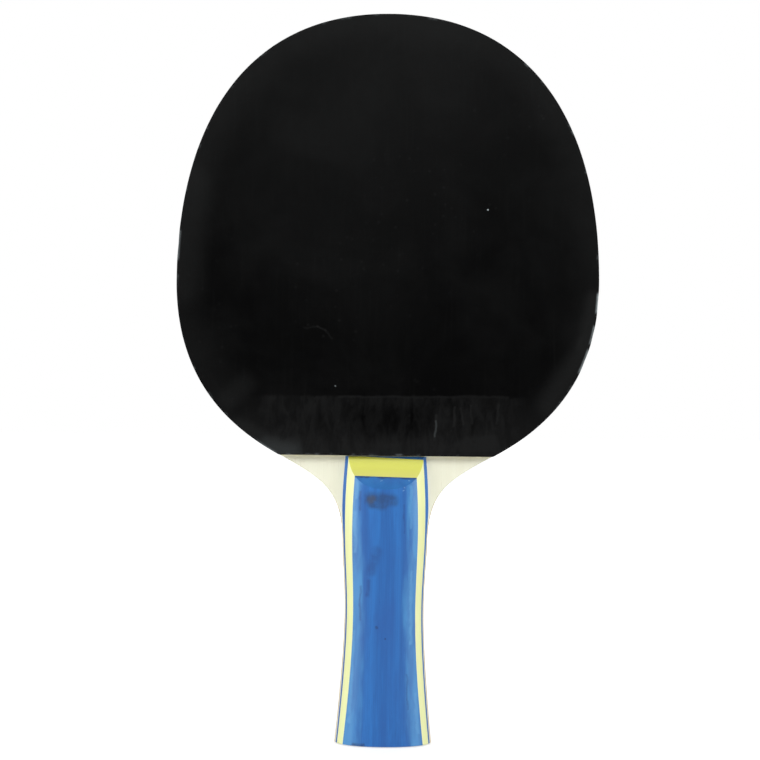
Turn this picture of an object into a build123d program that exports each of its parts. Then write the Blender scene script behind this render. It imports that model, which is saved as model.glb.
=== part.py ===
"""Table tennis paddle: a five-ply wooden blade, a flared laminated handle and two rubbers.

The paddle stands on the flat butt end of its handle. +Z runs from the butt to the top of the
head, +X across the head, and the front rubber faces -Y. The origin is the centre of the butt.
The paddle is glued up from flat layers, so each piece lies between two depths, measured in
front of the middle of the blade. The pieces behind the middle mirror those in front.
"""

import os
from math import copysign, cos, pi, radians, sin, sqrt

from build123d import *

# Head, drawn upwards from the straight lower edge of the rubber
head_width = 150.0
head_length = 156.9
widest_height = 61.6  # height of the widest line
throat_width = 76.0  # across the blade at the rubber's lower edge
throat_slope = 28.7  # degrees from level, of the outline at the throat

# How far each outline curve runs straight on before it bends: 0.55 would give an ellipse
shoulder_side_fullness = 0.60
shoulder_top_fullness = 0.67
cheek_side_fullness = 0.62
cheek_throat_reach = 16.2

# Wings, where the blade runs concave from the throat into the sides of the handle
wing_throat_reach = 19.0
wing_handle_reach = 19.0

# Plies of the blade
core_ply_thickness = 3.0
cross_ply_thickness = 1.0
face_ply_thickness = 0.6

# Rubbers
sponge_thickness = 1.8
topsheet_thickness = 1.6
rubber_gap = 0.3  # between the handle and the rubber

# Handle layers on each side of the blade, as thick as they are at the handle's waist
handle_length = 102.0
base_veneer_thickness = 1.2
stripe_thickness = 3.0
slab_thickness = 3.8

# Handle widths and the heights where they lie; the wings run out at the belly
butt_width = 34.5
heel_width = 32.8
heel_height = 9.0
flare_width = 30.5
flare_height = 23.0
waist_width = 28.5
waist_height = 51.0
belly_width = 30.4
belly_height = 70.0
collar_width = 30.7
collar_height = 88.0
neck_width = 29.0
butt_swell = 2.4  # the handle is this much thicker at the butt than at the waist
neck_slimming = 1.8  # and this much thinner at the neck
butt_round = 0.8
section_power = 2.1  # of the handle's oval section: 2 is an ellipse, more is squarer
section_points = 32

# Hollow slope at the handle's top end, as a sanding drum laid across the handle leaves it
drum_radius = 30.0
drum_lead = 8.4  # of the drum's axis above the handle's square end
drum_skew = 0.8  # degrees; the drum bites deeper towards +X
bevel_toe = 1.1  # thickness left where the slope meets the square end

blade_thickness = core_ply_thickness + 2 * (cross_ply_thickness + face_ply_thickness)
scale_thickness = base_veneer_thickness + stripe_thickness + slab_thickness
handle_thickness = blade_thickness + 2 * scale_thickness

# Depths of the joints between layers, in front of the middle of the blade
core_depth = core_ply_thickness / 2
cross_depth = core_depth + cross_ply_thickness
blade_depth = cross_depth + face_ply_thickness
sponge_depth = blade_depth + sponge_thickness
topsheet_depth = sponge_depth + topsheet_thickness
base_veneer_depth = blade_depth + base_veneer_thickness
stripe_depth = base_veneer_depth + stripe_thickness
beyond_handle = handle_thickness + butt_swell

rubber_foot = handle_length + rubber_gap
widest_line = rubber_foot + widest_height
head_top = rubber_foot + head_length


def head_side():
    """Right half of the head's outline, from the throat up round the cheek and shoulder."""
    half_width = head_width / 2
    half_throat = throat_width / 2
    slope = radians(throat_slope)
    Bezier(
        (half_throat, rubber_foot),
        (
            half_throat + cheek_throat_reach * cos(slope),
            rubber_foot + cheek_throat_reach * sin(slope),
        ),
        (half_width, widest_line - cheek_side_fullness * widest_height),
        (half_width, widest_line),
    )
    Bezier(
        (half_width, widest_line),
        (half_width, widest_line + shoulder_side_fullness * (head_top - widest_line)),
        (shoulder_top_fullness * half_width, head_top),
        (0, head_top),
    )


# Stations of the handle from the butt up: height, width and thickness of the section
butt = (0, butt_width, handle_thickness + butt_swell)
heel = (heel_height, heel_width, handle_thickness + butt_swell * 2 / 3)
flare = (flare_height, flare_width, handle_thickness + butt_swell / 4)
waist = (waist_height, waist_width, handle_thickness)
belly = (belly_height, belly_width, handle_thickness - neck_slimming / 4)
collar = (collar_height, collar_width, handle_thickness - neck_slimming * 2 / 3)
neck = (handle_length, neck_width, handle_thickness - neck_slimming)


def side_point(station, depth):
    """Point on the handle's right side at a station and a depth, seen from the front.

    The section is the oval where |x / half width|^p + |y / half thickness|^p = 1.
    """
    height, width, thickness = station
    flatness = (2 * abs(depth) / thickness) ** section_power
    return (width / 2 * (1 - flatness) ** (1 / section_power), height)


def wing_and_tongue_side(depth):
    """Right wing, from the throat to the handle's belly, and the tongue's side from there
    down to the butt, flush with the handle's side at the given depth.
    """
    half_throat = throat_width / 2
    slope = radians(throat_slope)
    belly_side, belly_line = side_point(belly, depth)
    Bezier(
        (half_throat, rubber_foot),
        (
            half_throat - wing_throat_reach * cos(slope),
            rubber_foot - wing_throat_reach * sin(slope),
        ),
        (belly_side, belly_line + wing_handle_reach),
        (belly_side, belly_line),
    )
    Spline(*(side_point(station, depth) for station in (belly, waist, flare, heel, butt)))
    Line(side_point(butt, depth), (0, 0))


def oval_points(width, thickness):
    """Points round the handle's oval section, evenly spaced in angle before it is squared."""
    power = 2 / section_power
    for step in range(section_points):
        angle = 2 * pi * step / section_points
        across = copysign(abs(cos(angle)) ** power, cos(angle))
        through = copysign(abs(sin(angle)) ** power, sin(angle))
        yield (across * width / 2, through * thickness / 2)


# Solid shape of the whole handle, from which every layer of the handle is sliced
with BuildPart() as handle_shape:
    for height, width, thickness in (butt, heel, flare, waist, belly, collar, neck):
        with BuildSketch(Plane.XY.offset(height)):
            with BuildLine():
                Spline(*oval_points(width, thickness), periodic=True)
            make_face()
    loft()
    fillet(handle_shape.faces().sort_by(Axis.Z)[0].edges(), radius=butt_round)

# Sanding drum in front of the handle's top end
drum_depth = blade_depth + bevel_toe + sqrt(drum_radius**2 - drum_lead**2)
skew = radians(drum_skew)
drum_plane = Plane(
    origin=(0, -drum_depth, handle_length + drum_lead),
    x_dir=(0, 0, 1),
    z_dir=(cos(skew), sin(skew), 0),
)
with BuildPart() as drum:
    with BuildSketch(drum_plane):
        Circle(drum_radius)
    extrude(amount=head_width, both=True)


def handle_slice(inner_depth, outer_depth):
    """The part of the handle's shape between two depths."""
    with BuildPart() as slice_part:
        add(handle_shape.part)
        with BuildSketch(Plane.XZ.offset(inner_depth)):
            Rectangle(2 * head_width, 2 * handle_length)
        extrude(amount=outer_depth - inner_depth, mode=Mode.INTERSECT)
    return slice_part.part


def blade_ply(inner_depth, outer_depth):
    """One ply of the blade: the head and wings, with the tongue that runs down the handle."""
    with BuildPart() as ply_part:
        with BuildSketch(Plane.XZ.offset(inner_depth)) as ply_outline:
            with BuildLine():
                head_side()
                wing_and_tongue_side(outer_depth)
                mirror(about=Plane.YZ)
            make_face()
            fillet(ply_outline.vertices().group_by(Axis.Y)[0], radius=butt_round)
        extrude(amount=outer_depth - inner_depth)
    return ply_part.part


def handle_layer(inner_depth, outer_depth):
    """One layer of the handle in front of the blade, with its top end sanded to the slope."""
    whole_layer = handle_slice(inner_depth, outer_depth)
    with BuildPart() as layer_part:
        add(whole_layer)
        add(drum.part, mode=Mode.SUBTRACT)
    return layer_part.part


def head_layer(inner_depth, outer_depth):
    """One layer of a rubber: the head's outline above a straight lower edge."""
    with BuildPart() as layer_part:
        with BuildSketch(Plane.XZ.offset(inner_depth)):
            with BuildLine():
                head_side()
                mirror(about=Plane.YZ)
                Line((-throat_width / 2, rubber_foot), (throat_width / 2, rubber_foot))
            make_face()
        extrude(amount=outer_depth - inner_depth)
    return layer_part.part


def write_piece(name, piece):
    piece.label = name
    export_step(piece, f"parts/{name}.step")


def write_pair(name, front_piece):
    """Writes a piece in front of the blade's middle and its mirror image behind it."""
    with BuildPart() as back_piece:
        mirror(front_piece, about=Plane.XZ)
    write_piece(f"front_{name}", front_piece)
    write_piece(f"back_{name}", back_piece.part)


os.makedirs("parts", exist_ok=True)
write_piece("core_ply", blade_ply(-core_depth, core_depth))
write_pair("cross_ply", blade_ply(core_depth, cross_depth))
write_pair("face_ply", blade_ply(cross_depth, blade_depth))
write_pair("sponge", head_layer(blade_depth, sponge_depth))
write_pair("topsheet", head_layer(sponge_depth, topsheet_depth))
write_pair("handle_base_veneer", handle_layer(blade_depth, base_veneer_depth))
write_pair("handle_stripe", handle_layer(base_veneer_depth, stripe_depth))
write_pair("handle_slab", handle_layer(stripe_depth, beyond_handle))
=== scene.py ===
"""Looks of a table tennis paddle: five-ply blade, laminated flared handle, two rubbers.

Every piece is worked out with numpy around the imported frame, in metres. +Z runs from the butt
of the handle to the top of the head and the front rubber faces -Y. A depth is a distance in
front of the middle of the blade, so a point at depth d lies at y = -d.
"""

import math

import bpy
import numpy as np
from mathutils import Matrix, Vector


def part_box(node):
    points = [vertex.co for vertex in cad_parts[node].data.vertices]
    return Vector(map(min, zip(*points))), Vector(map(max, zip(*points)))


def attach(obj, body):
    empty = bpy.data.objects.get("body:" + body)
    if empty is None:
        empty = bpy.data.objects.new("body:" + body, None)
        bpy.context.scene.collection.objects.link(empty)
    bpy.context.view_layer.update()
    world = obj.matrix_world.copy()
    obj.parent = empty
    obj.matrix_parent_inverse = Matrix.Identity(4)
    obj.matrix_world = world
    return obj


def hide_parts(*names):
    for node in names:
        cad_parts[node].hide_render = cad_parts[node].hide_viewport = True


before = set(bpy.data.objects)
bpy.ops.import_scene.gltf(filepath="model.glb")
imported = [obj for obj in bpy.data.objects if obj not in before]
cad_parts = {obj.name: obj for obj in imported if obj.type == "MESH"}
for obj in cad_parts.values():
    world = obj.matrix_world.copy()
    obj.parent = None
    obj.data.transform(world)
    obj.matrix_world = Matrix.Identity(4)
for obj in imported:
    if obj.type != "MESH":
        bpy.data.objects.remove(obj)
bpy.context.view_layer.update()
MM = 0.001

# --- Sizes, read from the frame's own nodes ---------------------------------------------------

def span(node):
    """Lowest and highest corner of a CAD node as arrays."""
    low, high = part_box(node)
    return np.array(low), np.array(high)


def outer_depth(node):
    """Depth of a front node's outer face."""
    return -span(node)[0][1]


core_depth = outer_depth("core_ply")
cross_depth = outer_depth("front_cross_ply")
blade_depth = outer_depth("front_face_ply")
sponge_depth = outer_depth("front_sponge")
topsheet_depth = outer_depth("front_topsheet")
base_veneer_depth = outer_depth("front_handle_base_veneer")
stripe_depth = outer_depth("front_handle_stripe")

half_head = span("front_sponge")[1][0]
head_top = span("front_sponge")[1][2]
rubber_foot = span("front_sponge")[0][2]
handle_top = span("front_handle_base_veneer")[1][2]

# Outline of the head and the wings, as the blade is sawn
widest_line = rubber_foot + 61.6 * MM
half_throat = 38.0 * MM
throat_slope = math.radians(28.7)
shoulder_side_fullness = 0.60
shoulder_top_fullness = 0.67
cheek_side_fullness = 0.62
cheek_throat_reach = 16.2 * MM
wing_throat_reach = 19.0 * MM
wing_handle_reach = 19.0 * MM
throat = np.array([half_throat, rubber_foot])
throat_run = np.array([math.cos(throat_slope), math.sin(throat_slope)])  # along the outline

# Stations of the handle: butt, heel, flare, waist, belly, collar and neck
station_heights = np.array([0.0, 9.0, 23.0, 51.0, 70.0, 88.0, 102.0]) * MM
station_half_widths = np.array([17.25, 16.4, 15.25, 14.25, 15.2, 15.35, 14.5]) * MM
station_half_thicknesses = np.array([12.3, 11.9, 11.4, 11.1, 10.875, 10.5, 10.2]) * MM
belly = 4  # place of the belly among the stations
section_power = 2.1  # of the handle's oval section: 2 is an ellipse, more is squarer

# Hollow slope at the handle's top, as a sanding drum laid across the handle leaves it
drum_radius = 30.0 * MM
drum_lead = 8.4 * MM
drum_skew = math.radians(0.8)
bevel_toe = 1.1 * MM

# Rubber: a thin sheet on pips
sheet_thickness = 0.7 * MM
sheet_edge = 0.22 * MM  # radius of its rounded front edge
pip_pitch = 2.1 * MM
pip_radius = 0.87 * MM
pip_tip = 0.98 * pip_radius
pip_root = 1.12 * pip_radius
pip_sunk = 0.02 * MM  # how far the roots reach into the sheet
pip_setback = 0.03 * MM  # of a cut pip behind the rim
pip_rim = 2.5  # millimetres from the rim at which the pips' own wear is read

# Foot of the base veneer, which sanding leaves wider where it runs out over the wings
veneer_flare = 0.50 * MM
flare_start = 71.0 * MM
flare_end = 85.0 * MM


# --- Curves -----------------------------------------------------------------------------------

def bezier(p0, p1, p2, p3, count):
    """Cubic Bezier curve: the four points weighted by (1-t)^3, 3t(1-t)^2, 3t^2(1-t), t^3."""
    t = np.linspace(0, 1, count)[:, None]
    points = [np.array(p, float) for p in (p0, p1, p2, p3)]
    weights = ((1 - t) ** 3, 3 * t * (1 - t) ** 2, 3 * t * t * (1 - t), t**3)
    return sum(w * p for w, p in zip(weights, points))


def smooth_through(xs, ys, x):
    """Natural cubic spline: the curve through the points (xs, ys) that bends least, at x."""
    n, gaps, rises = len(xs), np.diff(xs), np.diff(ys)
    matrix, right = np.eye(n), np.zeros(n)
    for i in range(1, n - 1):
        matrix[i, i - 1 : i + 2] = gaps[i - 1], 2 * (gaps[i - 1] + gaps[i]), gaps[i]
        right[i] = 6 * (rises[i] / gaps[i] - rises[i - 1] / gaps[i - 1])
    bend = np.linalg.solve(matrix, right)
    i = np.clip(np.searchsorted(xs, x) - 1, 0, n - 2)
    h, a, b = gaps[i], xs[i + 1] - x, x - xs[i]
    curved = (bend[i] * a**3 + bend[i + 1] * b**3) / (6 * h)
    return curved + (ys[i] / h - bend[i] * h / 6) * a + (ys[i + 1] / h - bend[i + 1] * h / 6) * b


def oval_share(depth, thickness):
    """Half width of the oval section at a depth, as a share: (1 - |depth/thickness|^p)^(1/p)."""
    flatness = np.clip(np.abs(depth) / thickness, 0, 1) ** section_power
    return (1 - flatness) ** (1 / section_power)


def even_steps(points, count):
    """The same line with its points spaced evenly along its length."""
    lengths = np.r_[0, np.cumsum(np.linalg.norm(np.diff(points, axis=0), axis=1))]
    marks = np.linspace(0, lengths[-1], count)
    return np.stack([np.interp(marks, lengths, points[:, i]) for i in (0, 1)], 1)


def head_side():
    """Right half of the head's outline, from the top down to the throat."""
    shoulder = bezier(
        (0, head_top),
        (shoulder_top_fullness * half_head, head_top),
        (half_head, widest_line + shoulder_side_fullness * (head_top - widest_line)),
        (half_head, widest_line),
        400,
    )
    cheek_drop = cheek_side_fullness * (widest_line - rubber_foot)
    cheek = bezier(
        (half_head, widest_line),
        (half_head, widest_line - cheek_drop),
        throat + cheek_throat_reach * throat_run,
        throat,
        300,
    )
    return np.vstack([shoulder, cheek[1:]])


def blade_side(depth):
    """Right half of the blade's outline at a depth: head, wing and the tongue in the handle,
    which follows the oval of the handle's section.
    """
    share = oval_share(depth, station_half_thicknesses[belly])
    run_out = np.array([share * station_half_widths[belly], station_heights[belly]])
    wing = bezier(
        throat,
        throat - wing_throat_reach * throat_run,
        run_out + (0, wing_handle_reach),
        run_out,
        200,
    )
    heights = np.linspace(station_heights[belly], 0, 160)
    thickness = smooth_through(station_heights, station_half_thicknesses, heights)
    widths = smooth_through(station_heights, station_half_widths, heights)
    widths = oval_share(depth, thickness) * widths
    tongue = np.stack([widths, heights], 1)
    head = even_steps(head_side(), 260)
    return np.vstack([head, even_steps(wing, 70)[1:], even_steps(tongue, 70)[1:]])


def head_loop(count):
    """Closed outline of a rubber, clockwise from the middle of the top, with a straight foot."""
    right = np.vstack([head_side(), [(0.0, rubber_foot)]])
    left = right[::-1] * (-1, 1)
    return even_steps(np.vstack([right, left[1:]]), count + 1)[:-1]


def outward(loop):
    """Unit normals of a clockwise closed outline, in its own plane."""
    along = np.roll(loop, -1, 0) - np.roll(loop, 1, 0)
    normal = np.stack([-along[:, 1], along[:, 0]], 1)
    return normal / np.maximum(np.linalg.norm(normal, axis=1), 1e-12)[:, None]


def past_outline(points, loop):
    """How far flat points lie past a closed outline, negative inside, and the nearest outline
    point of each: the offset from that point measured along the outline's normal there.
    """
    normal, past, nearest = outward(loop), [], []
    for block in np.array_split(points, 1 + len(points) // 400):
        near = ((block[:, None] - loop) ** 2).sum(-1).argmin(1)
        past.append(((block - loop[near]) * normal[near]).sum(1))
        nearest.append(near)
    return np.concatenate(past), np.concatenate(nearest)


# --- Meshes -----------------------------------------------------------------------------------

def lift(flat, depth):
    """Points of an outline (x, z) placed at a depth in front of the blade's middle."""
    return np.stack([flat[:, 0], np.full(len(flat), -depth), flat[:, 1]], 1)


def ring_faces(rings, count):
    """Quads between neighbouring closed rings of count points each."""
    ring, step = np.meshgrid(np.arange(rings - 1), np.arange(count), indexing="ij")
    a = ring * count + step
    b = ring * count + (step + 1) % count
    return np.stack([a, b, b + count, a + count], -1).reshape(-1, 4).tolist()


def build(name, points, faces, material, attributes=(), sharp=30, bevel=0.0):
    """A piece from arrays, riding on the body and standing for the CAD node of its name. Its
    volume is the sum of the tetrahedra from the origin to its triangles, and where that is
    negative the faces are turned round.
    """
    mesh = bpy.data.meshes.new(name)
    mesh.from_pydata(points.tolist(), [], faces)
    mesh.calc_loop_triangles()
    corners = np.empty(3 * len(mesh.loop_triangles), np.int32)
    mesh.loop_triangles.foreach_get("vertices", corners)
    a, b, c = points[corners].reshape(-1, 3, 3).transpose(1, 0, 2)
    if (a * np.cross(b, c)).sum() < 0:
        mesh.flip_normals()
    for label, values in attributes:
        mesh.attributes.new(label, "FLOAT", "POINT").data.foreach_set("value", values)
    mesh.polygons.foreach_set("use_smooth", np.ones(len(mesh.polygons), bool))
    mesh.set_sharp_from_angle(angle=math.radians(sharp))
    mesh.materials.append(material)
    piece = bpy.data.objects.new(name, mesh)
    bpy.context.scene.collection.objects.link(piece)
    if bevel:
        rounding = piece.modifiers.new("rounded_edges", "BEVEL")
        rounding.width = bevel
        rounding.segments = 3
        rounding.limit_method = "ANGLE"
        rounding.angle_limit = math.radians(sharp)
        rounding.use_clamp_overlap = True
        rounding.harden_normals = True
    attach(piece, "root")
    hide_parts(name)
    return piece


def mirrored(points, side):
    """Front pieces as they are (side 1), back pieces mirrored about the blade's middle (-1)."""
    return points * (1, side, 1)


def ply(name, inner, outer, material, side=1, edge=0.06 * MM, outer_edge=0.06 * MM):
    """One ply: its outline carried from the inner to the outer depth through rings, with a
    small quarter round at each edge, and ladder strips across both flat faces.
    """
    turns = np.radians([0, 30, 60, 90])
    profile = [(edge * (1 - math.sin(t)), inner + edge * (1 - math.cos(t))) for t in turns]
    profile += [(0.0, inner + (outer - inner) * s) for s in (0.3, 0.5, 0.7)]
    profile += [
        (outer_edge * (1 - math.cos(t)), outer - outer_edge * (1 - math.sin(t))) for t in turns
    ]
    points = []
    for inset, depth in profile:
        right = blade_side(depth)
        loop = np.vstack([right, [(0.0, 0.0)], right[:0:-1] * (-1, 1)])
        normal = outward(loop)
        normal[0] = (0, 1)
        points.append(lift(loop - inset * normal, depth))
    count, half = len(points[0]), len(right)
    faces = ring_faces(len(profile), count)
    rung = np.arange(1, half - 1)
    ladder = np.stack([rung, rung + 1, count - rung - 1, count - rung], 1)
    ends = np.array([(0, 1, count - 1), (half - 1, half, half + 1)])
    last = (len(profile) - 1) * count
    for strips in (ladder, ends):
        faces += strips[:, ::-1].tolist() + (last + strips).tolist()
    return build(name, mirrored(np.vstack(points), side), faces, material)


def sheet(loop, profile, centre):
    """A plate over a convex outline: each ring of the profile is (share of the way from the
    centre to the outline, inset, depth), closed by a fan at both ends.
    """
    normal, points = outward(loop), []
    for share, inset, depth in profile:
        flat = centre + share * (loop - inset * normal - centre)
        points.append(lift(flat, depth))
    count = len(loop)
    faces = ring_faces(len(profile), count)
    ends = [lift(np.array([centre]), profile[end][2]) for end in (0, -1)]
    first = np.full(count, len(profile) * count)
    here, after = np.arange(count), (np.arange(count) + 1) % count
    last_ring = (len(profile) - 1) * count
    faces += np.stack([first, after, here], 1).tolist()
    faces += np.stack([first + 1, last_ring + here, last_ring + after], 1).tolist()
    return np.vstack(points + ends), faces


def rim_wear(loop, chips, seed):
    """How far the rim is worn back at each point of the outline: a low ripple everywhere and a
    few short chips, each a bell-shaped bite.
    """
    rng = np.random.default_rng(seed)
    around = np.linspace(0, 2 * np.pi, len(loop), endpoint=False)
    waves = sum(
        rng.uniform(0.2, 1) * np.sin(k * around + rng.uniform(0, 6.3)) for k in (9, 17, 31, 53)
    )
    wear = 0.03 * MM * (1 + waves / 4)
    for middle, width, bite in chips:
        away = np.linalg.norm(loop - np.array(middle) * MM - (0, rubber_foot), axis=1)
        wear = wear + bite * MM * np.exp(-((away / (width * MM)) ** 2))
    return wear


def sponge(name, side, material):
    """Foam sheet with straight cut edges and a slightly uneven rim."""
    loop = head_loop(900)
    loop = loop - outward(loop) * (0.1 * MM + rim_wear(loop, [], 4 + side)[:, None])
    centre = np.array([0, widest_line])
    inner, outer, edge = blade_depth, sponge_depth, 0.08 * MM
    profile = [(s, 0, inner) for s in (0.1, 0.5, 0.9)]
    profile += [(1, edge, inner), (1, 0, inner + edge)]
    profile += [(1, 0, inner + (outer - inner) * s) for s in (0.35, 0.65)]
    profile += [(1, 0, outer - edge), (1, edge, outer)]
    profile += [(s, 0, outer) for s in (0.9, 0.5, 0.1)]
    points, faces = sheet(loop, profile, centre)
    return build(name, mirrored(points, side), faces, material)


def pips(loop, inner, outer, first):
    """Short round studs on a hexagonal grid between two depths. Those that cross the rim are
    cut flush with it: a point past the outline moves back along the outline's normal. Their
    points are counted from first.
    """
    rows = int(2 * half_head / (pip_pitch * math.sqrt(3) / 2)) + 4
    row, column = np.meshgrid(np.arange(-rows, rows), np.arange(-rows, rows), indexing="ij")
    x = (column + 0.5 * (row % 2)) * pip_pitch
    z = widest_line + row * pip_pitch * math.sqrt(3) / 2
    centres = np.stack([x.ravel(), z.ravel()], 1)
    near = np.abs(centres[:, 0]) < half_head + pip_radius
    near &= centres[:, 1] < head_top + pip_radius
    near &= centres[:, 1] > loop[:, 1].min() - pip_radius
    centres = centres[near]
    normal = outward(loop)
    distance, _ = past_outline(centres, loop)
    kept = distance < 0.3 * pip_radius
    centres, distance = centres[kept], distance[kept]
    sides = 8
    turn = 2 * np.pi * np.arange(sides) / sides
    circle = np.stack([np.cos(turn), np.sin(turn)], 1)
    rings = [(pip_tip, inner), (pip_root, outer + pip_sunk)]
    solid = []
    for radius, depth in rings:
        flat = (centres[:, None] + radius * circle).reshape(-1, 2)
        edge = np.repeat(distance > -2 * pip_root, sides)
        over, nearest = past_outline(flat[edge], loop)
        flat[edge] -= np.maximum(over + pip_setback, 0)[:, None] * normal[nearest]
        solid.append(lift(flat, depth).reshape(-1, sides, 3))
    points = np.concatenate(solid, 1).reshape(-1, 3)
    lower, after = np.arange(sides), (np.arange(sides) + 1) % sides
    walls = np.stack([lower, after, after + sides, lower + sides], 1)
    ends = np.stack([lower[::-1], lower + sides])
    start = first + 2 * sides * np.arange(len(centres))[:, None, None]
    faces = (start + walls).reshape(-1, 4).tolist() + (start + ends).reshape(-1, sides).tolist()
    return points, faces


def topsheet(name, side, material, chips, seed):
    """Rubber sheet with a rounded front edge and the pips moulded on its inner side."""
    loop = head_loop(960)
    worn = loop - outward(loop) * rim_wear(loop, chips, seed)[:, None]
    centre = np.array([0, widest_line])
    back, front, edge = topsheet_depth - sheet_thickness, topsheet_depth, sheet_edge
    shares = np.r_[0.02, np.linspace(0.1, 0.9, 9), 0.95, 0.98]
    profile = [(s, 0, back) for s in shares[::3]]
    profile += [(1, 0.04 * MM, back), (1, 0, back + 0.04 * MM), (1, 0, front - edge)]
    for turn in np.radians([22.5, 45, 67.5, 90]):
        profile.append((1, edge * (1 - math.cos(turn)), front - edge * (1 - math.sin(turn))))
    profile += [(s, 0, front) for s in shares[::-1]]
    points, faces = sheet(worn, profile, centre)
    pip_points, pip_faces = pips(worn, sponge_depth, back, len(points))
    past, _ = past_outline(points[:, [0, 2]], loop)
    rim = np.r_[np.maximum(-past, 0) / MM, np.full(len(pip_points), pip_rim)]
    points = np.vstack([points, pip_points])
    return build(
        name, mirrored(points, side), faces + pip_faces, material, [("rim", rim)], sharp=50
    )


def bevel_height(x, depth):
    """Height of the handle's sloping end over a point: the underside of a drum whose axis lies
    across the handle, in front of its top, and is turned a little so that it bites deeper
    towards +X. Where the drum passes clear of the handle the end stays square.
    """
    axis_depth = blade_depth + bevel_toe + math.sqrt(drum_radius**2 - drum_lead**2)
    away = math.cos(drum_skew) * (axis_depth - depth) - math.sin(drum_skew) * x
    drop = np.sqrt(np.maximum(drum_radius**2 - away**2, 0))
    return np.minimum(handle_top, handle_top + drum_lead - drop)


def handle_layer(name, inner, outer, material, side=1, bevel=0.12 * MM, flare=0.0):
    """One layer of the handle. A section at one height is a closed loop: up the oval's right
    side from the inner to the outer depth, over the top, down the left side and back. Each
    point of the loop climbs to its own height under the sloping end. A flared layer is wider
    at its inner depth, by a share that grows smoothly between two heights.
    """
    steps_up, steps_over = 10, 24
    heights = np.linspace(0, 1, 96)
    tall = outer is None  # the slab, whose sides meet at the crown of the oval

    def section(z):
        """Loops at heights z, one height for every point of the loop: arrays (rows, loop)."""
        width = smooth_through(station_heights, station_half_widths, z)
        thick = smooth_through(station_heights, station_half_thicknesses, z)
        first = np.arcsin((inner / thick) ** (section_power / 2))
        last = np.full_like(first, np.pi / 2)
        if not tall:
            last = np.arcsin((outer / thick) ** (section_power / 2))
        side_share = np.linspace(0, 1, steps_up)
        if tall:
            side_share = np.linspace(0, 1, steps_up + steps_over // 2)
        ends = len(side_share)
        across = np.linspace(1, -1, steps_over)[1:-1]
        x, d = np.empty_like(z), np.empty_like(z)

        def oval(turn, columns):
            x[:, columns] = width[:, columns] * np.abs(np.cos(turn)) ** (2 / section_power)
            d[:, columns] = thick[:, columns] * np.sin(turn) ** (2 / section_power)

        right = slice(0, ends)
        oval(first[:, right] + (last - first)[:, right] * side_share, right)
        start = ends
        if not tall:
            over = slice(start, start + len(across))
            edge_x = width[:, over] * oval_share(outer, thick[:, over])
            x[:, over], d[:, over] = edge_x * across, outer
            start += len(across)
        left_share = side_share[::-1][1:] if tall else side_share[::-1]
        left = slice(start, start + len(left_share))
        oval(first[:, left] + (last - first)[:, left] * left_share, left)
        x[:, left] *= -1
        start += len(left_share)
        under = slice(start, start + len(across))
        edge_x = width[:, under] * oval_share(inner, thick[:, under])
        x[:, under], d[:, under] = -edge_x * across, inner
        if flare:
            foot = (outer - d) / (outer - inner)
            rise = np.clip((z - flare_start) / (flare_end - flare_start), 0, 1)
            x *= 1 + flare * foot * rise**2 * (3 - 2 * rise) / width
        return x, d

    rows = steps_up + steps_over // 2 if tall else steps_up
    count = 2 * rows + steps_over - 3 if tall else 2 * (rows + steps_over - 2)
    top = np.full((1, count), handle_top - 3 * MM)
    for _ in range(16):  # each round halves the gap between a point's height and the slope
        x, d = section(top)
        top = 0.5 * (top + bevel_height(x, d))
    z = heights[:, None] * top
    x, d = section(z)
    points = np.stack([x, -d, z], -1).reshape(-1, 3)
    faces = ring_faces(len(heights), count)
    for level, base in ((0, 0), (1, (len(heights) - 1) * count)):
        loop = np.arange(base, base + count)
        right = loop[:rows]
        under = np.r_[right[0], loop[: -steps_over + 1 : -1], 0]
        if tall:  # past the crown the loop comes down as it went up
            left = np.r_[right[:-1] + 2 * (right[-1] - right[:-1]), right[-1]]
            over = np.full(steps_over, right[-1])
        else:
            left = loop[rows + steps_over - 2 : 2 * rows + steps_over - 2][::-1]
            over = np.r_[right[-1], loop[rows : rows + steps_over - 2], left[-1]]
        under[-1] = left[0]
        extra, end_faces = end_grid(points, right, left, under, over, level, len(points))
        points, faces = np.vstack([points, extra]), faces + end_faces
    return build(
        name, mirrored(points, side), faces, material, sharp=25, bevel=bevel
    )


def end_grid(points, right, left, under, over, level, first):
    """Closes one end of a layer with a grid: each row joins a point on the right side to its
    partner on the left, evenly spaced in x and depth, at the height of the sloping end (level
    1) or of the flat butt (level 0). The first and last rows are the layer's own edges.
    """
    rows, columns = len(right), len(under)
    grid = np.zeros((rows, columns), int)
    grid[:, 0], grid[:, -1], grid[0], grid[-1] = right, left, under, over
    inside = first + np.arange((rows - 2) * (columns - 2)).reshape(rows - 2, columns - 2)
    grid[1:-1, 1:-1] = inside
    share = np.linspace(0, 1, columns)[None, 1:-1, None]
    a, b = points[right[1:-1]][:, None], points[left[1:-1]][:, None]
    extra = (a + (b - a) * share).reshape(-1, 3)
    if level:
        extra[:, 2] = bevel_height(extra[:, 0], -extra[:, 1])
    a, b, c, d = grid[:-1, :-1], grid[:-1, 1:], grid[1:, 1:], grid[1:, :-1]
    quads = np.stack([a, b, c, d], -1).reshape(-1, 4)
    if level:
        quads = quads[:, ::-1]
    faces = [list(dict.fromkeys(quad)) for quad in quads.tolist()]
    return extra, [face for face in faces if len(face) > 2]


# --- Materials --------------------------------------------------------------------------------

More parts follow.
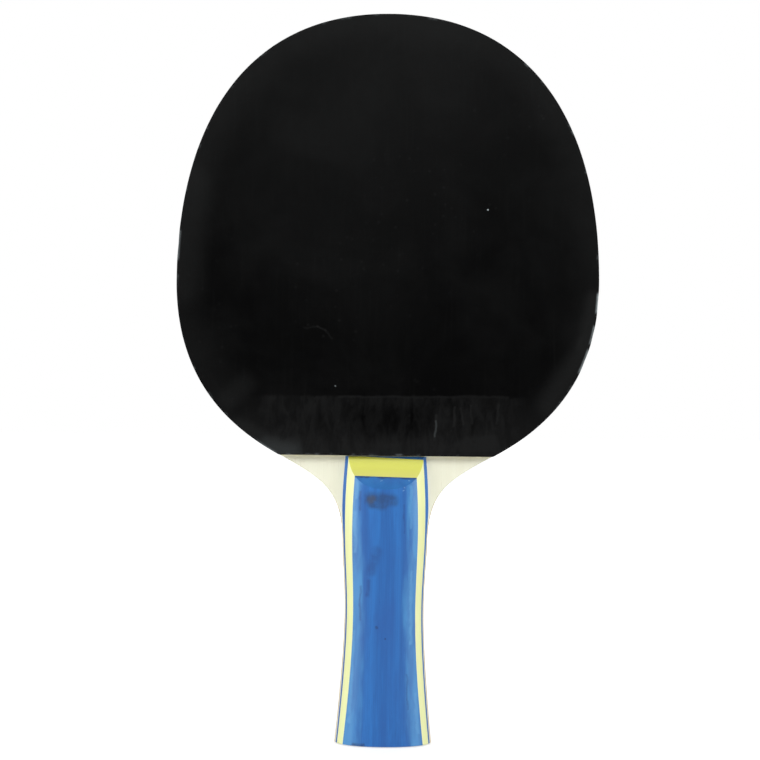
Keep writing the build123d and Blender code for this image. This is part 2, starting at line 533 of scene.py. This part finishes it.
class Finish:
    """A node material. Its methods add one node each and hand back the node's output; positions
    are object coordinates in millimetres.
    """

    def __init__(self, name, roughness, specular=0.5, coat=0.0, coat_roughness=0.1):
        self.material = bpy.data.materials.new(name)
        self.material.use_nodes = True
        self.tree = self.material.node_tree
        self.shader = self.tree.nodes["Principled BSDF"]
        self.shader.inputs["Roughness"].default_value = roughness
        self.shader.inputs["Specular IOR Level"].default_value = specular
        self.shader.inputs["Coat Weight"].default_value = coat
        self.shader.inputs["Coat Roughness"].default_value = coat_roughness
        self.shader.inputs["IOR"].default_value = 1.5
        coordinates = self.tree.nodes.new("ShaderNodeTexCoord")
        self.place = self.vector("MULTIPLY", coordinates.outputs["Object"], (1000, 1000, 1000))
        self.normal = coordinates.outputs["Normal"]

    def put(self, socket, value):
        """Links another node's output to a socket, or sets the socket to a plain value."""
        if isinstance(value, bpy.types.NodeSocket):
            self.tree.links.new(value, socket)
        elif isinstance(value, (tuple, list)) and len(value) == 3 and socket.type == "RGBA":
            socket.default_value = (*value, 1.0)
        else:
            socket.default_value = value

    def math(self, kind, a, b=0.0, c=0.0, clamp=False):
        node = self.tree.nodes.new("ShaderNodeMath")
        node.operation, node.use_clamp = kind, clamp
        for socket, value in zip(node.inputs, (a, b, c)):
            self.put(socket, value)
        return node.outputs[0]

    def vector(self, kind, a, b=(0.0, 0.0, 0.0)):
        node = self.tree.nodes.new("ShaderNodeVectorMath")
        node.operation = kind
        self.put(node.inputs[0], a)
        self.put(node.inputs[1], b)
        return node.outputs["Value" if kind == "LENGTH" else "Vector"]

    def triple(self, value):
        """The same value on all three axes."""
        node = self.tree.nodes.new("ShaderNodeCombineXYZ")
        for socket in node.inputs:
            self.put(socket, value)
        return node.outputs[0]

    def axis(self, vector, index):
        node = self.tree.nodes.new("ShaderNodeSeparateXYZ")
        self.put(node.inputs[0], vector)
        return node.outputs[index]

    def noise(self, where, scale, detail=3.0, roughness=0.55, distortion=0.0):
        node = self.tree.nodes.new("ShaderNodeTexNoise")
        for label, value in (
            ("Vector", where), ("Scale", scale), ("Detail", detail),
            ("Roughness", roughness), ("Distortion", distortion),
        ):
            self.put(node.inputs[label], value)
        return node.outputs["Fac"]

    def cells(self, where, scale):
        """Distance to the nearest of many scattered points."""
        node = self.tree.nodes.new("ShaderNodeTexVoronoi")
        self.put(node.inputs["Vector"], where)
        self.put(node.inputs["Scale"], scale)
        return node.outputs["Distance"]

    def between(self, value, low, high, start=0.0, end=1.0):
        """Value carried smoothly from low..high to start..end and held there beyond."""
        node = self.tree.nodes.new("ShaderNodeMapRange")
        node.interpolation_type = "SMOOTHSTEP"
        for socket, item in zip(node.inputs, (value, low, high, start, end)):
            self.put(socket, item)
        return node.outputs[0]

    def blend(self, share, a, b, kind="MIX"):
        node = self.tree.nodes.new("ShaderNodeMix")
        node.data_type, node.blend_type = "RGBA", kind
        for socket, item in ((node.inputs[0], share), (node.inputs[6], a), (node.inputs[7], b)):
            self.put(socket, item)
        return node.outputs[2]

    def attribute(self, label):
        node = self.tree.nodes.new("ShaderNodeAttribute")
        node.attribute_name = label
        return node.outputs["Fac"]

    def total(self, values):
        result = values[0]
        for value in values[1:]:
            result = self.math("ADD", result, value)
        return result

    def bump(self, height, distance, strength):
        """Relief of a height of 1 over a distance in millimetres."""
        node = self.tree.nodes.new("ShaderNodeBump")
        node.inputs["Strength"].default_value = strength
        node.inputs["Distance"].default_value = distance * MM
        self.put(node.inputs["Height"], height)
        return node.outputs[0]

    def set(self, **items):
        """Feeds the shader's inputs, named with underscores, and hands back the material."""
        for label, value in items.items():
            self.put(self.shader.inputs[label.replace("_", " ")], value)
        return self.material

    def mark(self, x0, z0, x1, z1, width, soft):
        """1 on a stroke from (x0, z0) to (x1, z1) millimetres across and above the rubber's
        foot, falling smoothly to 0 over its soft edge. The distance to the stroke is that to
        the nearest point between its ends.
        """
        foot = rubber_foot / MM
        start, end = np.array([x0, z0 + foot]), np.array([x1, z1 + foot])
        run = end - start
        length2 = max(float(run @ run), 1e-6)
        x = self.math("SUBTRACT", self.wobbled[0], float(start[0]))
        z = self.math("SUBTRACT", self.wobbled[1], float(start[1]))
        along = self.math("MULTIPLY_ADD", x, float(run[0] / length2),
                          self.math("MULTIPLY", z, float(run[1] / length2)))
        along = self.math("MINIMUM", self.math("MAXIMUM", along, 0.0), 1.0)
        off_x = self.math("MULTIPLY_ADD", along, float(-run[0]), x)
        off_z = self.math("MULTIPLY_ADD", along, float(-run[1]), z)
        squared = self.math("MULTIPLY_ADD", off_x, off_x, self.math("MULTIPLY", off_z, off_z))
        distance = self.math("SQRT", squared)
        return self.between(distance, width / 2, width / 2 + soft, 1.0, 0.0)

    def marks(self, rows):
        """Strokes added together, each given as what mark takes and then its strength."""
        return self.total([self.math("MULTIPLY", self.mark(*row[:6]), row[6]) for row in rows])

    def wobble(self, size, scale):
        """Positions for marks, shaken by noise so that no mark is a clean stroke."""
        elsewhere = self.vector("ADD", self.place, (31.0, 7.0, 13.0))
        self.wobbled = tuple(
            self.math(
                "MULTIPLY_ADD", self.math("SUBTRACT", self.noise(where, scale, 2.0), 0.5), size,
                self.axis(self.place, index),
            )
            for where, index in ((self.place, 0), (elsewhere, 2))
        )


def rubber_finish(name, deep, dusty, worn, scuffed_band, strokes, specks, scuffs):
    """Smooth rubber: dark in the middle, dustier towards the rim and in the band above the
    handle that the finger rubs, with wiped streaks, scratches and a pale abraded rim.
    """
    f = Finish(name, 0.5, specular=0.02)
    f.wobble(1.6, 0.25)
    rim = f.attribute("rim")
    cloud = f.noise(f.place, 0.035, 4.0, 0.6, 0.4)
    fine = f.noise(f.place, 1.1, 3.0, 0.65)
    streaks = f.noise(f.vector("MULTIPLY", f.place, (0.9, 0.9, 0.045)), 1.0, 3.0, 0.6)
    height = f.between(f.axis(f.place, 2), rubber_foot / MM + 50, head_top / MM, 0.0, 0.40)
    patches = f.noise(f.vector("ADD", f.place, (60.0, 0.0, 20.0)), 0.03, 2.0)
    patches = f.between(patches, 0.45, 0.62)
    pits = f.between(f.cells(f.place, 0.24), 0.06, 0.18, 0.3, 0.0)
    pits = f.math("MULTIPLY", pits, patches)
    rim_dust = f.between(rim, 0.0, 14.0, 0.34, 0.0)
    dust = f.total([
        height, rim_dust, f.between(cloud, 0.35, 0.75, 0.05, 0.27),
        f.between(streaks, 0.5, 0.8, 0.0, 0.10), pits,
    ])
    band_high, band_left, band_right = scuffed_band
    foot = rubber_foot / MM
    in_band = f.math(
        "MULTIPLY",
        f.between(f.wobbled[1], foot + band_high - 0.8, foot + band_high + 0.4, 1.0, 0.0),
        f.math(
            "MULTIPLY",
            f.between(f.wobbled[0], band_left - 8, band_left + 6),
            f.between(f.wobbled[0], band_right - 6, band_right + 8, 1.0, 0.0),
        ),
    )
    rubbed = f.noise(f.vector("MULTIPLY", f.place, (0.35, 1.0, 0.12)), 1.0, 4.0, 0.7, 0.6)
    band_dust = f.math("MULTIPLY", in_band, f.between(rubbed, 0.3, 0.7, 0.12, 0.6))
    marks = f.marks(strokes)
    dust = f.math("ADD", f.math("ADD", dust, band_dust), marks)
    grain = f.math("MULTIPLY_ADD", f.math("SUBTRACT", fine, 0.5), 0.35, 1.0)
    dust = f.math("MULTIPLY", dust, grain, clamp=True)
    color = f.blend(dust, deep, dusty)
    speck = f.marks(specks)
    edge_noise = f.noise(f.place, 0.16, 3.0, 0.6)
    abraded = f.math("MULTIPLY", f.between(edge_noise, 0.52, 0.74), 0.35)
    scuffed = f.marks(scuffs)
    at_rim = f.math("MULTIPLY", f.between(rim, 0.1, 1.1, 1.0, 0.0), f.math("ADD", abraded, scuffed))
    color = f.blend(f.math("MAXIMUM", speck, at_rim), color, worn)
    rough = f.math("ADD", f.math("MULTIPLY_ADD", dust, 0.25, 0.38), f.math("MULTIPLY", fine, 0.08))
    relief = f.total([
        f.math("MULTIPLY", fine, 0.5), f.noise(f.place, 0.4, 2.0), f.math("MULTIPLY", marks, 0.3)
    ])
    return f.set(Base_Color=color, Roughness=rough, Normal=f.bump(relief, 0.03, 0.5))


def wood_finish(
    name, light, dark, pore, grain="Z", roughness=0.55, coat=0.0, end_tint=None, stain=None,
    side_tint_and_painted_light=None, marks=(), mottle=0.5,
):
    """Wood whose long grain runs along one axis: rings, fibres and pores are noise stretched
    along that axis, so a cut across it shows end grain and a cut along it shows lines. The
    handle's woods have other tints where they are sanded at the sides and at the slope. The
    lighter blue on the handle's sides is partly thinner stain and partly painted light, which
    stands for the side softboxes shining on them.
    """
    f = Finish(name, roughness, specular=0.4, coat=coat, coat_roughness=0.22)
    long_ways = {"Z": (1.0, 1.0, 0.02), "X": (0.02, 1.0, 1.0)}[grain]
    along = f.vector("MULTIPLY", f.place, long_ways)
    slow = tuple(0.02 * (1 + s) for s in long_ways)
    bend = f.noise(f.vector("MULTIPLY", f.place, slow), 1.0, 2.0)
    swayed = f.vector("ADD", along, f.vector("MULTIPLY", f.triple(bend), (1.6, 1.6, 1.6)))
    rings = f.noise(swayed, 0.35, 4.0, 0.5)
    fibres = f.noise(along, 2.6, 4.0, 0.65)
    hairs = f.noise(along, 7.0, 2.0, 0.5)
    pores = f.cells(f.vector("MULTIPLY", along, (1.0, 1.0, 2.0)), 2.2)
    tone = f.total([
        f.math("MULTIPLY", f.between(rings, 0.35, 0.65), 0.5),
        f.math("MULTIPLY", f.between(fibres, 0.3, 0.7), 0.35),
        f.math("MULTIPLY", hairs, 0.2),
    ])
    color = f.blend(f.math("MULTIPLY", tone, mottle, clamp=True), light, dark)
    pore_line = f.between(pores, 0.05, 0.16, 0.35, 0.0)
    color = f.blend(pore_line, color, pore)
    # Lighter on the sides that face ±X: partly thinner stain where they are sanded, partly painted
    # light from the side softboxes
    if side_tint_and_painted_light is not None:
        tint, share = side_tint_and_painted_light
        sideways = f.math("ABSOLUTE", f.axis(f.normal, 0))
        patchy = f.noise(f.vector("MULTIPLY", f.place, (0.3, 0.3, 0.05)), 1.0, 3.0)
        sides = f.math("MULTIPLY_ADD", patchy, 0.4, sideways)
        sides = f.between(sides, 0.52, 0.70, 0.0, share)
        depth = f.math("ABSOLUTE", f.axis(f.place, 1))
        sides = f.math("MULTIPLY", sides, f.between(depth, 4.4, 7.2))
        color = f.blend(sides, color, tint)
    if end_tint is not None:
        across = f.math("ABSOLUTE", f.axis(f.normal, 2))
        ends = f.between(across, 0.15, 0.28)
        upper, lower, share = end_tint
        fade = f.between(f.axis(f.place, 2), 94.0, 100.0)
        color = f.blend(f.math("MULTIPLY", ends, share), color, f.blend(fade, lower, upper))
    if stain is not None:
        patch = f.noise(f.vector("MULTIPLY", f.place, (0.16, 0.16, 0.035)), 1.0, 4.0, 0.6, 0.5)
        tint, share = stain
        color = f.blend(f.between(patch, 0.4, 0.75, 0.0, share), color, tint)
    if marks:
        f.wobble(1.6, 0.25)
        in_front = f.between(f.axis(f.place, 1), -2.0, 0.0, 1.0, 0.0)
        for tint, strength, strokes in marks:
            share = f.math("MINIMUM", f.total([f.mark(*s) for s in strokes]), 1.0)
            share = f.math("MULTIPLY", share, in_front)
            ragged = f.between(f.noise(f.place, 0.5, 3.0), 0.3, 0.65, 0.6, 1.0)
            share = f.math("MULTIPLY", f.math("MULTIPLY", share, ragged), strength)
            color = f.blend(share, color, tint)
    rough = f.math("MULTIPLY_ADD", fibres, 0.2, roughness - 0.1)
    relief = f.total([fibres, f.math("MULTIPLY", hairs, 0.5), f.math("MULTIPLY", pores, 0.4)])
    return f.set(Base_Color=color, Roughness=rough, Normal=f.bump(relief, 0.05, 0.35))


def foam_finish(name):
    """Pale yellow foam rubber with open cells of a few tenths of a millimetre, their hollows
    darkened with painted shade.
    """
    f = Finish(name, 0.85, specular=0.2)
    open_cells = f.cells(f.place, 2.6)
    small_cells = f.cells(f.place, 5.5)
    cloud = f.noise(f.place, 0.12, 3.0)
    thin_walls = f.between(small_cells, 0.0, 0.3, 0.7, 1.0)
    walls = f.math("MULTIPLY", f.between(open_cells, 0.1, 0.45), thin_walls)
    # Painted shade: the hollows of the cells are darker than the walls between them
    color = f.blend(walls, (0.55, 0.42, 0.13), (0.86, 0.75, 0.36))
    color = f.blend(f.between(cloud, 0.4, 0.7, 0.0, 0.3), color, (0.74, 0.60, 0.26))
    return f.set(Base_Color=color, Normal=f.bump(walls, 0.15, 0.7))


# Dust, pale specks and rim scuffs are strokes: across, up, across, up, width, soft edge (all
# millimetres, up from the rubber's foot) and strength
front_strokes = [
    (17.4, 6.0, 17.6, 14.5, 0.4, 0.5, 0.9),
    (24.0, 11.0, 24.3, 17.5, 0.3, 0.5, 0.5),
    (27.0, 11.5, 26.6, 17.0, 0.2, 0.5, 0.5),
    (30.2, 12.0, 30.0, 18.0, 0.3, 0.5, 0.45),
    (39.2, 12.0, 39.5, 18.8, 0.3, 0.6, 0.45),
    (-17.0, 20.9, 43.0, 21.3, 0.2, 0.6, 0.35),
    (28.0, 4.0, 37.0, 5.0, 3.0, 2.5, 0.4),
    (-6.0, 11.0, 11.0, 12.0, 6.0, 5.0, -0.3),
    (-29.4, 45.0, -24.8, 45.6, 0.1, 0.5, 0.3),
    (-24.8, 45.6, -22.0, 44.2, 0.2, 0.5, 0.45),
    (-22.0, 44.2, -19.6, 41.4, 0.1, 0.5, 0.3),
    (-36.0, 3.0, -32.0, 5.0, 2.0, 2.0, 0.3),
    (-52.0, 8.5, -40.0, 1.5, 3.0, 5.0, 0.55),
    (-56.0, 20.0, -50.0, 25.0, 2.0, 5.0, 0.3),
    (-72.0, 60.0, -70.0, 96.0, 4.0, 8.0, 0.25),
    (73.6, 56.0, 70.5, 41.0, 0.4, 5.0, 0.5),
    (70.0, 39.0, 57.0, 19.0, 0.6, 6.0, 0.4),
    (-10.0, 80.0, 4.0, 150.0, 30.0, 34.0, 0.12),
]
front_specks = [
    (35.4, 87.5, 35.4, 87.6, 0.3, 0.25, 0.75),
    (-18.4, 24.5, -18.4, 24.6, 0.3, 0.25, 0.30),
    (-42.0, 2.6, -33.0, 1.0, 0.4, 5.5, 0.045),
    (17.4, 7.0, 17.5, 12.5, 0.1, 0.5, 0.06),
]
front_scuffs = [
    (74.2, 57.2, 73.6, 52.6, 0.8, 1.4, 0.75),
    (72.4, 46.2, 71.4, 41.6, 0.8, 1.4, 0.55),
    (70.2, 37.6, 68.0, 32.0, 1.0, 1.6, 0.60),
    (-74.7, 70.0, -74.4, 78.0, 0.6, 1.8, 0.30),
    (-44.0, 3.6, -40.0, 1.2, 0.6, 2.0, 0.20),
]
back_strokes = [
    (-30.0, 60.0, -22.0, 71.0, 0.2, 0.5, 0.4),
    (12.0, 90.0, 20.0, 96.0, 0.2, 0.5, 0.3),
    (5.0, 30.0, 26.0, 36.0, 0.5, 13.0, 0.22),
    (-14.0, 110.0, 14.0, 114.0, 1.0, 22.0, 0.18),
    (20.0, 8.0, 20.5, 15.0, 0.3, 0.5, 0.4),
]
back_specks = [
    (-31.0, 52.0, -31.0, 52.1, 0.3, 0.25, 0.8), (22.0, 118.0, 22.0, 118.1, 0.3, 0.25, 0.6),
]
back_scuffs = [
    (-72.0, 45.0, -68.0, 33.0, 0.8, 2.0, 0.5), (60.0, 120.0, 54.0, 128.0, 0.6, 2.0, 0.4),
]

black_rubber = rubber_finish(
    "black_rubber", (0.0009, 0.0009, 0.00095), (0.0095, 0.0098, 0.0098), (0.30, 0.34, 0.35),
    (21.2, -43.0, 46.0), front_strokes, front_specks, front_scuffs,
)
red_rubber = rubber_finish(
    "red_rubber", (0.36, 0.010, 0.012), (0.50, 0.06, 0.05), (0.72, 0.45, 0.40),
    (17.0, -38.0, 40.0), back_strokes, back_specks, back_scuffs,
)
foam = foam_finish("yellow_foam")
core_wood = wood_finish(
    "core_wood", (0.84, 0.75, 0.56), (0.60, 0.47, 0.29), (0.28, 0.17, 0.08), mottle=0.8
)
cross_wood = wood_finish(
    "cross_ply_wood", (0.64, 0.50, 0.32), (0.45, 0.32, 0.18), (0.18, 0.10, 0.04), grain="X",
    mottle=0.8,
)
face_wood = wood_finish(
    "face_ply_wood", (0.86, 0.86, 0.70), (0.73, 0.70, 0.53), (0.50, 0.44, 0.28), mottle=0.35
)
blue_wood = wood_finish(
    "blue_stained_wood", (0.018, 0.162, 0.500), (0.006, 0.066, 0.275), (0.004, 0.030, 0.14),
    mottle=0.7, coat=0.25, roughness=0.5,
    end_tint=((0.020, 0.135, 0.340), (0.020, 0.135, 0.340), 0.5),
    # The lighter side tint is partly thinner stain and partly painted light from the side softboxes
    stain=((0.014, 0.090, 0.34), 0.6), side_tint_and_painted_light=((0.048, 0.245, 0.54), 0.9),
    marks=[
        ((0.012, 0.035, 0.10), 0.65, [
            (-5.4, -15.0, 2.4, -15.4, 2.0, 2.2), (-4.4, -17.0, -0.8, -17.4, 0.8, 2.0),
        ]),
        ((0.060, 0.060, 0.058), 0.5, [(-5.2, -15.6, -4.6, -15.0, 1.2, 1.4)]),
        ((0.010, 0.050, 0.20), 0.55, [
            (-2.8, -33.5, -4.6, -40.5, 1.0, 2.2), (-5.6, -44.0, -5.9, -49.0, 0.2, 1.2),
        ]),
        ((0.008, 0.030, 0.11), 0.7, [
            (-2.8, -60.5, -2.8, -60.6, 0.6, 0.7), (0.6, -64.3, 0.6, -64.4, 0.2, 0.5),
            (-10.2, -101.8, -6.8, -102.0, 0.3, 0.8),
        ]),
        ((0.006, 0.022, 0.085), 0.8, [(-11.2, -7.2, 11.2, -7.75, 0.35, 0.5)]),
        # Painted highlights: pale streaks down the rounded sides of the handle, where the side
        # softboxes shine on the lacquer
        ((0.095, 0.330, 0.600), 0.45, [
            (-10.0, -9.6, -10.2, -15.0, 0.3, 0.7), (-10.8, -20.0, -10.4, -34.0, 0.2, 0.9),
            (8.9, -10.9, 9.1, -25.0, 0.2, 0.8), (9.6, -41.0, 9.5, -66.0, 0.2, 0.8),
            (-10.8, -62.0, -12.0, -94.0, 0.2, 0.9), (11.2, -84.0, 12.4, -98.0, 0.2, 0.8),
        ]),
        ((0.008, 0.048, 0.200), 0.5, [
            (-8.9, -12.6, -8.8, -19.0, 0.1, 0.5), (6.6, -17.3, 6.7, -27.0, 0.1, 0.5),
            (8.2, -77.0, 8.9, -89.0, 0.1, 0.5), (-8.6, -46.0, -8.4, -58.0, 0.1, 0.6),
        ]),
        ((0.36, 0.58, 0.72), 0.35, [
            (8.2, -8.3, 8.3, -8.5, 0.12, 0.25), (6.8, -11.1, 6.9, -11.2, 0.10, 0.25),
            (6.3, -12.2, 6.5, -12.1, 0.10, 0.25), (-1.8, -8.9, -1.2, -8.7, 0.05, 0.25),
        ]),
    ],
)
yellow_wood = wood_finish(
    "yellow_stained_wood", (0.79, 0.83, 0.43), (0.74, 0.73, 0.32), (0.58, 0.54, 0.20),
    coat=0.25, roughness=0.5, mottle=0.4,
    end_tint=((0.56, 0.57, 0.040), (0.57, 0.56, 0.120), 0.95),
)

# --- Pieces -----------------------------------------------------------------------------------

ply("core_ply", -core_depth, core_depth, core_wood)
for side_name, side in (("front", 1), ("back", -1)):
    ply(f"{side_name}_cross_ply", core_depth, cross_depth, cross_wood, side)
    ply(
        f"{side_name}_face_ply", cross_depth, blade_depth, face_wood, side,
        outer_edge=0.2 * MM,
    )
    sponge(f"{side_name}_sponge", side, foam)
    handle_layer(
        f"{side_name}_handle_base_veneer", blade_depth, base_veneer_depth, blue_wood,
        side, bevel=0.05 * MM, flare=veneer_flare,
    )
    handle_layer(
        f"{side_name}_handle_stripe", base_veneer_depth, stripe_depth, yellow_wood,
        side, bevel=0.1 * MM,
    )
    handle_layer(
        f"{side_name}_handle_slab", stripe_depth, None, blue_wood, side,
        bevel=0.35 * MM,
    )
front_chips = [
    ((-74.6, 74.4), 3.0, 0.12), ((73.9, 55.0), 3.4, 0.16), ((71.6, 43.8), 2.6, 0.15),
    ((69.0, 35.0), 3.2, 0.20),
]
back_chips = [((-60.0, 18.0), 1.6, 0.22), ((70.0, 100.0), 1.4, 0.15), ((-20.0, 153.0), 1.6, 0.15)]
topsheet("front_topsheet", 1, black_rubber, front_chips, 8)
topsheet("back_topsheet", -1, red_rubber, back_chips, 9)


# --- Stage, light and camera ------------------------------------------------------------------

def studio_floor(half, drop):
    """Large pale floor a little under the butt, which to the eye glows brighter further off."""
    corners = [(-half, -half), (half, -half), (half, half), (-half, half)]
    mesh = bpy.data.meshes.new("floor")
    mesh.from_pydata([(x, y, -drop) for x, y in corners], [], [(0, 1, 2, 3)])
    f = Finish("pale_floor", 0.9, specular=0.1)
    tone = f.noise(f.place, 0.002, 2.0)
    path = f.tree.nodes.new("ShaderNodeLightPath")
    flat = f.vector("MULTIPLY", f.place, (1.0, 1.0, 0.0))
    lift_up = f.between(f.vector("LENGTH", flat), 60.0, 500.0, 0.5, 1.0)
    glow = f.math("MULTIPLY", path.outputs["Is Camera Ray"], lift_up)
    f.set(Emission_Color=(1.0, 1.0, 1.0), Emission_Strength=glow)
    mesh.materials.append(f.set(Base_Color=f.blend(tone, (0.60, 0.60, 0.60), (0.64, 0.64, 0.64))))
    floor = bpy.data.objects.new("floor", mesh)
    bpy.context.scene.collection.objects.link(floor)


def softbox(name, place, aim, width, height, watts):
    """Rectangular area light at place, turned to face aim."""
    light = bpy.data.lights.new(name, "AREA")
    light.shape, light.size, light.size_y, light.energy = "RECTANGLE", width, height, watts
    lamp = bpy.data.objects.new(name, light)
    lamp.location = place
    lamp.rotation_euler = (Vector(aim) - Vector(place)).to_track_quat("-Z", "Y").to_euler()
    bpy.context.scene.collection.objects.link(lamp)


def studio_world(behind, around):
    """Plain white to the eye, and a soft even dome to everything else."""
    world = bpy.data.worlds.new("studio")
    world.use_nodes = True
    tree = world.node_tree
    background = tree.nodes["Background"]
    path = tree.nodes.new("ShaderNodeLightPath")
    level = tree.nodes.new("ShaderNodeMapRange")
    level.inputs["To Min"].default_value = around
    level.inputs["To Max"].default_value = behind
    tree.links.new(path.outputs["Is Camera Ray"], level.inputs["Value"])
    tree.links.new(level.outputs[0], background.inputs["Strength"])
    background.inputs["Color"].default_value = (1, 1, 1, 1)
    bpy.context.scene.world = world


middle = (0.0, 0.0, 0.14)
studio_floor(half=4.0, drop=0.3 * MM)
studio_world(behind=1.0, around=0.18)
softbox("left_softbox", (-1.05, -0.40, 0.35), middle, 0.5, 1.1, 10.8)
softbox("right_softbox", (1.05, -0.40, 0.35), middle, 0.5, 1.1, 9.4)
softbox("front_top_softbox", (0.0, -1.25, 0.95), middle, 1.4, 0.6, 12.0)
softbox("back_top_softbox", (0.0, 1.1, 1.2), middle, 1.4, 0.7, 11.0)

# The camera looks level at the front rubber from a little left of its middle
camera_aside = -2.4 * MM
camera_distance = 750 * MM
camera_rise = 26.9 * MM  # above the rubber's foot
camera_roll = -0.65  # degrees
camera_data = bpy.data.cameras.new("camera")
camera_data.lens = 99.3
camera = bpy.data.objects.new("camera", camera_data)
bpy.context.scene.collection.objects.link(camera)
camera.location = (camera_aside, -camera_distance, rubber_foot + camera_rise)
camera.rotation_euler = (math.radians(90), math.radians(camera_roll), 0)
bpy.context.scene.camera = camera
bpy.context.scene.view_settings.view_transform = "Standard"
